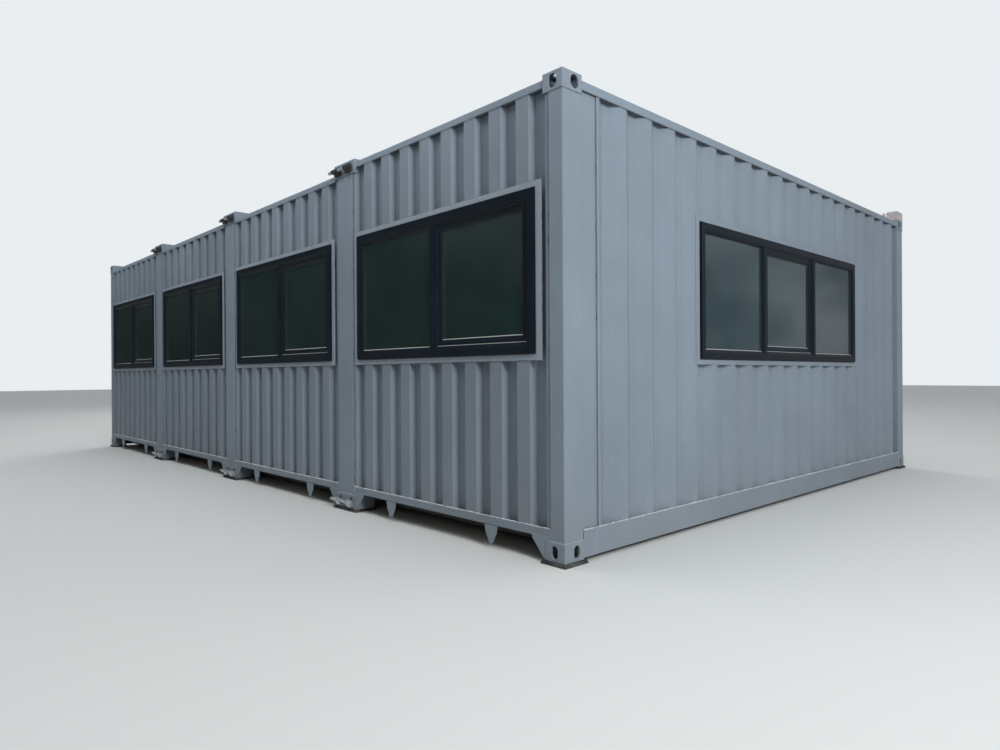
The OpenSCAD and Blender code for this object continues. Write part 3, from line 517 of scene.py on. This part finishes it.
# the seams up the posts and under the upper castings are old sealant, cracked
# and half painted over
split = Finish("split_sealant")
split_share = split.ramp(split.noise(split.stretch((60, 60, 14)), 1.0, 5, 0.7), 0.40, 0.50)
split_tone = split.mix(split_share, (0.018, 0.02, 0.023), (0.17, 0.195, 0.235))
split_dark = split.close(split_tone, 0.7, split.noise(split.place, 130, 3), 0.001)
lay_beads("post_joints", post_joints, split_dark, "sealant", 0.010, 0.0042, 0.55)

# light sealant on the lips before the wall's foot, smoothed with a finger; its paleness is partly a painted
# highlight for the bead's top catching the sky
pale_seal = Finish("pale_sealant")
pale_share = pale_seal.ramp(pale_seal.noise(pale_seal.place, 22, 4), 0.35, 0.65)
pale_dirt = pale_seal.ramp(pale_seal.noise(pale_seal.place, 7, 4), 0.58, 0.72, 0, 0.6)
pale_tone = pale_seal.mix(pale_share, (0.52, 0.545, 0.56), (0.74, 0.755, 0.76))
pale_tone = pale_seal.mix(pale_dirt, pale_tone, (0.20, 0.205, 0.21))
pale_highlit_bead = pale_seal.close(pale_tone, 0.55, pale_seal.noise(pale_seal.place, 90, 2), 0.0008)
lay_beads("lip_beads", lip_beads, pale_highlit_bead, "sealant", 0.014, 0.0046, 0.45)


# ---------------------------------------------------------------------------
# Roofs: thin sheets pressed into cross ribs, welded on the rails, bleached by
# the weather, with strips over the joints between neighbours.
roof_paint = container_paint("roof_paint", (0.215, 0.245, 0.285), runs=0.15, rust=0.5, foot=0.0, wave=0.0025)
dress(roof_paint, "roof_panel_1", "roof_panel_2", "roof_panel_3", "roof_panel_4")
roof_seams = []
for i in range(4):
    z = roof_z[i] + 0.001
    for sy in (-1, 1):
        y = sy * (half_y - 0.0215)
        roof_seams.append([Vector((container_middle(i) + x, y, foot_z + z)) for x in (-1.05, 1.05)])
    for sx in (-1, 1):
        x = container_middle(i) + sx * 1.2025
        roof_seams.append([Vector((x, y, foot_z + z)) for y in (-2.84, 2.84)])
lay_beads("roof_seams", roof_seams, frame_paint, "frame_paint", 0.013, 0.0036)


# ---------------------------------------------------------------------------
# Window surrounds and cover strips: flat bar and folded sheet, painted after
# they were welded in; the ends' surrounds and the roof strips are cleaner and a little lighter than the
# walls.
surround_paint = container_paint("surround_paint", (0.262, 0.298, 0.345), runs=0.2, rust=0.3, foot=0.1,
                                 wave=0.0006)
dress(surround_paint, "end_window_surrounds", "roof_seam_strips")
dress(side_paint, "side_window_surrounds")
dress(frame_paint, "wall_seam_strips")
seal = Finish("sealant")
seal_share = seal.ramp(seal.noise(seal.place, 60, 3), 0.3, 0.7)
seal_tone = seal.mix(seal_share, (0.02, 0.021, 0.022), (0.05, 0.05, 0.05))
seal_black = seal.close(seal_tone, 0.6, seal.noise(seal.place, 90, 2), 0.0015)
dress(seal_black, "window_seals")


# ---------------------------------------------------------------------------
# Windows: anthracite profiles with mitred corners, bevelled towards the
# glass; one light in each window is a sash that opens to the room.
profile = Finish("window_profile")
film = profile.noise(profile.place, 380, 3)
worn = profile.ramp(profile.noise(profile.place, 3.2, 4), 0.35, 0.7)
profile_tone = profile.mix(worn, (0.0045, 0.0085, 0.0135), (0.008, 0.013, 0.020))
settled = profile.math("MULTIPLY", profile.ramp(profile.facing("Z"), 0.6, 1.0), 0.28)
settled = profile.math("MULTIPLY", settled, profile.ramp(profile.noise(profile.place, 22, 4), 0.3, 0.7), True)
profile_tone = profile.mix(settled, profile_tone, (0.28, 0.28, 0.26))
dark_profile = profile.close(profile_tone, profile.ramp(worn, 0, 1, 0.45, 0.58), film, 0.0002,
                             Specular_IOR_Level=0.16)
dress(dark_profile, "end_window_frames", "side_window_frames", "end_window_sashes", "side_window_sashes")

# the panes let a third of the light through each, and mirror whatever stands before them
pane = Finish("pane_glass")
pane_film = pane.ramp(pane.noise(pane.place, 3.0, 4), 0.3, 0.7)
# panes facing sideways, in the long sides, are tinted bluer: a painted reflection of the sky
side_pane_reflection = pane.ramp(pane.math("ABSOLUTE", pane.facing("X")), 0.3, 0.7)
pane_tone = pane.mix(pane_film, (0.016, 0.034, 0.030), (0.022, 0.045, 0.040))
pane_tone = pane.mix(side_pane_reflection, pane_tone, (0.024, 0.052, 0.064))
pane_glass = pane.close(pane_tone, pane.ramp(pane_film, 0, 1, 0.015, 0.035),
                        pane.noise(pane.place, 1.5, 0), 0.0015, IOR=1.62, Alpha=0.66)

bar = Finish("spacer_bar")
bar_share = bar.ramp(bar.noise(bar.place, 50, 3), 0.3, 0.7)
bar_tone = bar.mix(bar_share, (0.66, 0.70, 0.72), (0.78, 0.81, 0.82))
bar_grey = bar.close(bar_tone, 0.45, bar.noise(bar.place, 400, 2), 0.0002)

rubber = Finish("glazing_rubber")
rubber_share = rubber.ramp(rubber.noise(rubber.place, 40, 3), 0.3, 0.7)
rubber_tone = rubber.mix(rubber_share, (0.005, 0.008, 0.011), (0.015, 0.021, 0.027))
rubber_dust = rubber.ramp(rubber.facing("Z"), 0.25, 0.7, 0, 0.9)
rubber_tone = rubber.mix(rubber_dust, rubber_tone, (0.42, 0.44, 0.43))
rubber_black = rubber.close(rubber_tone, 0.62, rubber.noise(rubber.place, 150, 2), 0.0004)

limb, mullion, sash_limb = 0.066, 0.076, 0.046
window_high, face_y, sash_set_back = 1.0, -0.008, 0.020
glass_set_back, sash_glass_set_back, glazing_depth = 0.026, 0.037, 0.024
end_window_at, end_window_low, end_window_width = -1.019, 1.240, 2.0
side_window_at, side_window_low, side_window_width = 1.515, 1.219, 3.0


def lights_of(width, count, opening):
    """Every light's glass edges and its glass's distance behind the window's face."""
    light = (width - 2 * limb - (count - 1) * mullion) / count
    for k in range(count):
        a = limb + k * (light + mullion)
        if k == opening:
            level = limb + sash_limb
            yield a + sash_limb, a + light - sash_limb, level, window_high - level, sash_glass_set_back
        else:
            yield a, a + light, limb, window_high - limb, glass_set_back


def windows():
    """Every window: a function from (along, inwards, up) at its lower left corner, its width,
    its number of lights, which of them opens, and the kind of wall it stands in."""
    for i in range(4):
        for rear in (False, True):
            yield (lambda x, y, z, i=i, rear=rear: on_end(i, rear, end_window_at + x, y, end_window_low + z),
                   end_window_width, 2, 1, "end")
    for left in (False, True):
        yield (lambda x, y, z, left=left: on_side(left, side_window_at + x, y, side_window_low + z),
               side_window_width, 3, 1, "side")


def moulding(mesh, place, a, b, low, high, section):
    """A mitred ring round a light: section is a closed line of (towards the middle, inwards)."""
    rings = []
    for inset, y in section:
        corners = ((a + inset, low + inset), (b - inset, low + inset),
                   (b - inset, high - inset), (a + inset, high - inset))
        rings.append([mesh.verts.new(place(x, y, z)) for x, z in corners])
    for k, ring in enumerate(rings):
        after = rings[(k + 1) % len(rings)]
        for j in range(4):
            mesh.faces.new((ring[j], ring[(j + 1) % 4], after[(j + 1) % 4], after[j]))


def slab(mesh, place, a, b, low, high, front, back):
    outline = ((a, low), (b, low), (b, high), (a, high))
    v = [mesh.verts.new(place(x, y, z)) for y in (front, back) for x, z in outline]
    for quad in ((0, 1, 2, 3), (7, 6, 5, 4), (0, 4, 5, 1), (1, 5, 6, 2), (2, 6, 7, 3), (3, 7, 4, 0)):
        mesh.faces.new([v[k] for k in quad])


def close_mesh(name, build):
    build_mesh = bmesh.new()
    build(build_mesh)
    bmesh.ops.recalc_face_normals(build_mesh, faces=build_mesh.faces)
    mesh = bpy.data.meshes.new(name)
    build_mesh.to_mesh(mesh)
    build_mesh.free()
    return mesh


def gasket_rings(mesh):
    for place, width, count, opening, side in windows():
        for a, b, low, high, set_back in lights_of(width, count, opening):
            y = face_y + set_back
            moulding(mesh, place, a, b, low, high,
                     ((0.0, y - 0.009), (0.0025, y - 0.0095), (0.006, y - 0.006), (0.0085, y), (0.0, y)))
            y = y + glazing_depth
            moulding(mesh, place, a, b, low, high,
                     ((0.0, y), (0.005, y), (0.0045, y + 0.003), (0.0, y + 0.004)))


def sash_rings(mesh):
    for place, width, count, opening, side in windows():
        light = (width - 2 * limb - (count - 1) * mullion) / count
        a = limb + opening * (light + mullion)
        y = face_y + sash_set_back
        section = ((0.0, y - 0.003), (0.004, y - 0.0035), (0.0075, y - 0.001), (0.0085, y + 0.001),
                   (0.0, y + 0.001))
        moulding(mesh, place, a, a + light, limb, window_high - limb, section)


settle("sash_seals", close_mesh("sash_seals", sash_rings), rubber_black, "sealant")

# dark beads round the end windows' flat surrounds: a painted shadow for the gap between each surround's edge
# and the wall
beside, above = 0.058, 0.044
shadow_outlines = []
for place, width, count, opening, side in windows():
    if side == "end":
        a, b, low, high = -beside, width + beside, -above, window_high + above
        ring = [place(x, 0.0105, z) for x, z in ((a, low), (b, low), (b, high), (a, high), (a, low))]
        shadow_outlines += [ring[k:k + 2] for k in range(4)]
lay_beads("surround_shadow_lines", shadow_outlines, split_dark, "sealant", 0.010, 0.0036, 0.5)
settle("glazing_gaskets", close_mesh("glazing_gaskets", gasket_rings), rubber_black, "sealant")

in_groove, sheet_glass, pane_fronts = 0.011, 0.004, (0.0003, 0.0197)
for kind in ("end", "side"):
    def panes(mesh):
        for place, width, count, opening, side in windows():
            if side == kind:
                for a, b, low, high, set_back in lights_of(width, count, opening):
                    y = face_y + set_back
                    for front in pane_fronts:
                        slab(mesh, place, a - in_groove, b + in_groove, low - in_groove, high + in_groove,
                             y + front, y + front + sheet_glass)

    def spacers(mesh):
        for place, width, count, opening, side in windows():
            if side == kind:
                for a, b, low, high, set_back in lights_of(width, count, opening):
                    y = face_y + set_back
                    front, back = y + 0.0044, y + 0.0196
                    moulding(mesh, place, a, b, low, high,
                             ((-0.008, front), (0.006, front), (0.006, back), (-0.008, back)))

    settle(kind + "_panes", close_mesh(kind + "_panes", panes), pane_glass, "glass",
           kind + "_window_glass")
    settle(kind + "_spacers", close_mesh(kind + "_spacers", spacers), bar_grey, "glass")

satin = Finish("handle_metal")
brushed = satin.ramp(satin.noise(satin.stretch((40, 40, 900)), 1, 2), 0.3, 0.7)
satin_tone = satin.mix(brushed, (0.46, 0.47, 0.48), (0.6, 0.6, 0.6))
satin_metal = satin.close(satin_tone, 0.36, satin.noise(satin.place, 500, 2), 0.0001, metallic=0.85)
dress(satin_metal, "window_handles")


# ---------------------------------------------------------------------------
# Inside: oiled plywood floor, coated boards on walls and ceiling with fine
# butt joints, and the same boards round the window openings.
board = Finish("lining_board")
board_share = board.ramp(board.noise(board.place, 1.3, 3), 0.3, 0.7)
board_spots = board.ramp(board.noise(board.place, 35, 4), 0.55, 0.8, 0, 0.2)
board_tone = board.mix(board_share, (0.56, 0.55, 0.51), (0.64, 0.63, 0.59))
board_tone = board.mix(board_spots, board_tone, (0.48, 0.47, 0.44))
# boards 1.22 m wide: the measure runs up and down between the joints and is 0 on them
half_board = 0.61
butt = board.math("MINIMUM", *[board.math("PINGPONG", board.axis(letter), half_board) for letter in "XY"])
board_tone = board.mix(board.ramp(butt, 0.001, 0.003, 0.8, 0), board_tone, (0.16, 0.155, 0.145))
dress(board.close(board_tone, 0.6, board.noise(board.place, 160, 3), 0.0006),
      "window_reveals", "wall_linings", "ceiling_boards")

ply = Finish("plywood")
veneer = ply.noise(ply.stretch((28, 2.2, 2.2)), 1.0, 6, 0.6, 1.2)
ply_tone = ply.mix(ply.ramp(veneer, 0.35, 0.65), (0.12, 0.075, 0.042), (0.24, 0.155, 0.088))
ply_tone = ply.mix(ply.ramp(ply.noise(ply.place, 2.0, 4), 0.45, 0.75, 0, 0.5), ply_tone, (0.09, 0.065, 0.045))
dress(ply.close(ply_tone, 0.5, veneer, 0.0008), "floor_panels")


# ---------------------------------------------------------------------------
# Bridge clamps: forged claws drawn together by a threaded bar, zinc-plated;
# the upper ones are dark steel, a painted shade for their shaded undersides.
zinc = Finish("zinc")
spangle = zinc.noise(zinc.place, 45, 4, 0.7)
zinc_tone = zinc.mix(zinc.ramp(spangle, 0.35, 0.65), (0.46, 0.49, 0.52), (0.80, 0.83, 0.85))
zinc_rust = zinc.ramp(zinc.noise(zinc.place, 28, 6, 0.65), 0.62, 0.72, 0, 0.6)
zinc_tone = zinc.mix(zinc_rust, zinc_tone, (0.22, 0.13, 0.075))
dull_zinc = zinc.close(zinc_tone, zinc.ramp(spangle, 0.3, 0.7, 0.24, 0.42),
                       zinc.noise(zinc.place, 190, 3), 0.0005, metallic=0.75)
dress(dull_zinc, "bottom_bridge_clamps")

# the upper clamps are the same fittings as the lower ones: their dark colour is painted shade, with rust and
# scale on it
forged = Finish("dark_steel")
scale = forged.noise(forged.place, 60, 5, 0.65)
forged_tone = forged.mix(forged.ramp(scale, 0.35, 0.7), (0.022, 0.024, 0.027), (0.075, 0.075, 0.075))
forged_rust = forged.ramp(forged.noise(forged.place, 31, 6, 0.7), 0.56, 0.66, 0, 0.7)
forged_tone = forged.mix(forged_rust, forged_tone, (0.13, 0.065, 0.035))
shaded_clamp_steel = forged.close(forged_tone, 0.66, scale, 0.0015, metallic=0.3)
dress(shaded_clamp_steel, "top_bridge_clamps")


def thread_tree():
    """One turn of a rolled thread, repeated along every rod at the thread's pitch."""
    tree = bpy.data.node_groups.new("rolled_thread", "GeometryNodeTree")
    face = tree.interface
    face.new_socket("Rods", in_out="INPUT", socket_type="NodeSocketGeometry")
    face.new_socket("Pitch", in_out="INPUT", socket_type="NodeSocketFloat")
    face.new_socket("Rod radius", in_out="INPUT", socket_type="NodeSocketFloat")
    face.new_socket("Ridge radius", in_out="INPUT", socket_type="NodeSocketFloat")
    face.new_socket("Finish", in_out="INPUT", socket_type="NodeSocketMaterial")
    face.new_socket("Threads", in_out="OUTPUT", socket_type="NodeSocketGeometry")
    new, link = tree.nodes.new, tree.links.new
    given, out = new("NodeGroupInput"), new("NodeGroupOutput")
    line, spaced = new("GeometryNodeMeshToCurve"), new("GeometryNodeResampleCurve")
    spaced.mode = "LENGTH"
    link(given.outputs["Rods"], line.inputs[0])
    link(line.outputs[0], spaced.inputs["Curve"])
    link(given.outputs["Pitch"], spaced.inputs["Length"])
    turn_once, ridge = new("GeometryNodeCurveSpiral"), new("GeometryNodeCurvePrimitiveCircle")
    swept = new("GeometryNodeCurveToMesh")
    turn_once.inputs["Resolution"].default_value = 14
    turn_once.inputs["Rotations"].default_value = 1.0
    link(given.outputs["Rod radius"], turn_once.inputs["Start Radius"])
    link(given.outputs["Rod radius"], turn_once.inputs["End Radius"])
    link(given.outputs["Pitch"], turn_once.inputs["Height"])
    ridge.inputs["Resolution"].default_value = 3
    link(given.outputs["Ridge radius"], ridge.inputs["Radius"])
    link(turn_once.outputs[0], swept.inputs["Curve"])
    link(ridge.outputs[0], swept.inputs["Profile Curve"])
    swept.inputs["Fill Caps"].default_value = True
    tangent, aim = new("GeometryNodeInputTangent"), new("FunctionNodeAlignRotationToVector")
    aim.axis = "Z"
    link(tangent.outputs[0], aim.inputs["Vector"])
    laid = new("GeometryNodeInstanceOnPoints")
    link(spaced.outputs[0], laid.inputs["Points"])
    link(swept.outputs[0], laid.inputs["Instance"])
    link(aim.outputs[0], laid.inputs["Rotation"])
    real, finish = new("GeometryNodeRealizeInstances"), new("GeometryNodeSetMaterial")
    link(laid.outputs[0], real.inputs[0])
    link(real.outputs[0], finish.inputs["Geometry"])
    link(given.outputs["Finish"], finish.inputs["Material"])
    link(finish.outputs[0], out.inputs[0])
    return tree


# the bare stretches of each rod, measured from the joint between two containers
rods = []
rod_inwards, low_rod_z, high_rod_z = -0.030, 0.059, 2.837
low_bare, high_bare = ((-0.194, -0.131), (-0.054, 0.054)), ((-0.194, -0.141), (-0.044, 0.044))
for i in range(3):
    for rear in (False, True):
        container = i + 1 if rear else i
        for z, bare in ((low_rod_z, low_bare), (high_rod_z, high_bare)):
            for stretch in bare:
                rods.append([on_end(container, rear, x - pitch / 2, rod_inwards, z) for x in stretch])
thread_mesh = run_tree("clamp_threads", seams_mesh("clamp_rods", rods), thread_tree(),
                       {"Pitch": 0.0046, "Rod radius": 0.0118, "Ridge radius": 0.0026, "Finish": dull_zinc})
settle("clamp_threads", thread_mesh, dull_zinc, "zinc")
